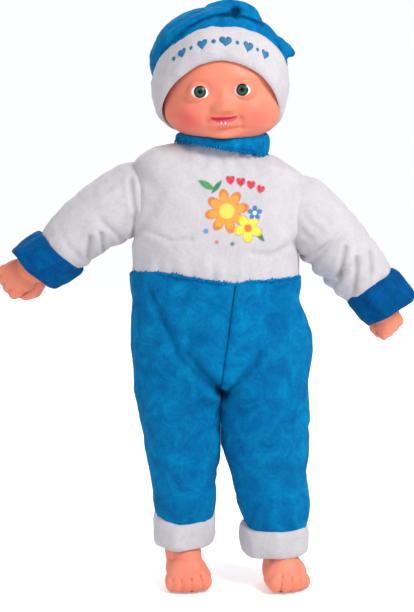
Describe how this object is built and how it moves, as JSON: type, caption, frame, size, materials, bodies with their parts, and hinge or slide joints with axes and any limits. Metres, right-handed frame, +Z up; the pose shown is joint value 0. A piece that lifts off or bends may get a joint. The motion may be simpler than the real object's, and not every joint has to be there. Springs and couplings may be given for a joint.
{
  "type": "interactive baby doll",
  "caption": "Standing soft-bodied baby doll with vinyl head, hands and feet, a stocking cap, stuffed velour outfit and a battery sound box in its chest.",
  "frame": {"origin": "floor level, under the middle of the doll's overall box", "axes": "+Z up, face towards -Y, the doll's own left is +X"},
  "size_m": [0.3604, 0.1284, 0.5076],
  "materials": {
    "vinyl_skin": "soft semi-matte moulded vinyl",
    "eye_white": "glossy acrylic",
    "iris": "glossy acrylic, dark ring",
    "white_velour": "short velour pile",
    "blue_velour": "short velour pile, mottled nap",
    "deep_blue_velour": "short velour pile",
    "tie_nylon": "nylon tie",
    "hook_loop": "hook and loop tape",
    "case_plastic": "moulded off-white",
    "button_plastic": "red moulded",
    "black_plastic": "moulded black",
    "board": "green laminate",
    "steel": "plated steel",
    "magnet_steel": "dull plated",
    "cell": "printed sleeve",
    "cone_paper": "pressed cone",
    "wire_red": "insulated wire",
    "wire_black": "insulated wire"
  },
  "bodies": {
    "torso": {"upper_body": "white_velour", "lower_body": "blue_velour", "loop_strip": "hook_loop", "neck_tie": "tie_nylon", "collar": "blue_velour", "case_front": "case_plastic", "case_rear": "case_plastic", "case_screw_1": "steel", "case_screw_2": "steel", "case_screw_3": "steel", "case_screw_4": "steel", "battery_1": "cell", "battery_spring_1": "steel", "contact_plate_1": "steel", "battery_2": "cell", "battery_spring_2": "steel", "contact_plate_2": "steel", "battery_3": "cell", "battery_spring_3": "steel", "contact_plate_3": "steel", "circuit_board": "board", "tact_switch": "black_plastic", "sound_chip": "black_plastic", "button_spring": "steel", "speaker_frame": "steel", "speaker_cone": "cone_paper", "speaker_magnet": "magnet_steel", "switch_body": "black_plastic", "wire_red": "wire_red", "wire_black": "wire_black"},
    "flap": {"back_flap": "white_velour", "hook_strip": "hook_loop"},
    "head": {"head_shell": "vinyl_skin", "right_eyeball": "eye_white", "right_iris": "iris", "left_eyeball": "eye_white", "left_iris": "iris"},
    "cap": {"hat_brim": "white_velour", "hat_crown": "blue_velour"},
    "right_arm": {"right_arm": "white_velour", "right_wrist_tie": "tie_nylon", "right_sleeve_cuff": "deep_blue_velour"},
    "right_hand": {"right_hand": "vinyl_skin"},
    "left_arm": {"left_arm": "white_velour", "left_wrist_tie": "tie_nylon", "left_sleeve_cuff": "deep_blue_velour"},
    "left_hand": {"left_hand": "vinyl_skin"},
    "right_leg": {"right_leg": "blue_velour", "right_ankle_tie": "tie_nylon", "right_trouser_cuff": "white_velour"},
    "right_foot": {"right_foot": "vinyl_skin"},
    "left_leg": {"left_leg": "blue_velour", "left_ankle_tie": "tie_nylon", "left_trouser_cuff": "white_velour"},
    "left_foot": {"left_foot": "vinyl_skin"},
    "button": {"press_button": "button_plastic"},
    "switch": {"switch_knob": "black_plastic"},
    "cover": {"battery_cover": "case_plastic", "cover_screw": "steel"}
  },
  "joints": [
    {"name": "head_turn", "type": "hinge", "parent": "torso", "child": "head", "pos_m": [0.01351, -0.00484, 0.3815], "axis": [0, 0, 1], "range_deg": [-60, 60]},
    {"name": "cap_lift", "type": "slide", "parent": "head", "child": "cap", "axis": [0, 0.5446, 0.8387], "range_m": [0, 0.08]},
    {"name": "right_shoulder", "type": "hinge", "parent": "torso", "child": "right_arm", "pos_m": [-0.05749, -0.00484, 0.3375], "axis": [0, 1, 0], "range_deg": [-14, 60]},
    {"name": "right_wrist", "type": "hinge", "parent": "right_arm", "child": "right_hand", "pos_m": [-0.13689, -0.00484, 0.28354], "axis": [-0.8271, 0, -0.5621], "range_deg": [-75, 75]},
    {"name": "left_shoulder", "type": "hinge", "parent": "torso", "child": "left_arm", "pos_m": [0.08251, -0.00484, 0.3255], "axis": [0, -1, 0], "range_deg": [-8, 70]},
    {"name": "left_wrist", "type": "hinge", "parent": "left_arm", "child": "left_hand", "pos_m": [0.147, -0.00484, 0.25438], "axis": [0.6717, 0, -0.7408], "range_deg": [-75, 75]},
    {"name": "right_hip", "type": "hinge", "parent": "torso", "child": "right_leg", "pos_m": [-0.02489, -0.00484, 0.2065], "axis": [-1, 0, 0], "range_deg": [-10, 85]},
    {"name": "right_ankle", "type": "hinge", "parent": "right_leg", "child": "right_foot", "pos_m": [-0.01849, -0.00484, 0.0495], "axis": [0, 0, -1], "range_deg": [-18, 35]},
    {"name": "left_hip", "type": "hinge", "parent": "torso", "child": "left_leg", "pos_m": [0.05071, -0.00484, 0.2065], "axis": [-1, 0, 0], "range_deg": [-10, 85]},
    {"name": "left_ankle", "type": "hinge", "parent": "left_leg", "child": "left_foot", "pos_m": [0.06101, -0.00484, 0.0495], "axis": [0, 0, 1], "range_deg": [-18, 35]},
    {"name": "chest_button", "type": "slide", "parent": "torso", "child": "button", "axis": [0, 1, 0], "range_m": [0, 0.0016], "stiffness_N_per_m": 600, "deforming": ["button_spring"]},
    {"name": "power_switch", "type": "slide", "parent": "torso", "child": "switch", "axis": [1, 0, 0], "range_m": [0, 0.003]},
    {"name": "battery_cover_lift", "type": "slide", "parent": "torso", "child": "cover", "axis": [0, 1, 0], "range_m": [0, 0.008]},
    {"name": "back_flap", "type": "hinge", "parent": "torso", "child": "flap", "pos_m": [0.01251, 0.03156, 0.3548], "axis": [1, 0, 0], "range_deg": [0, 100]}
  ]
}
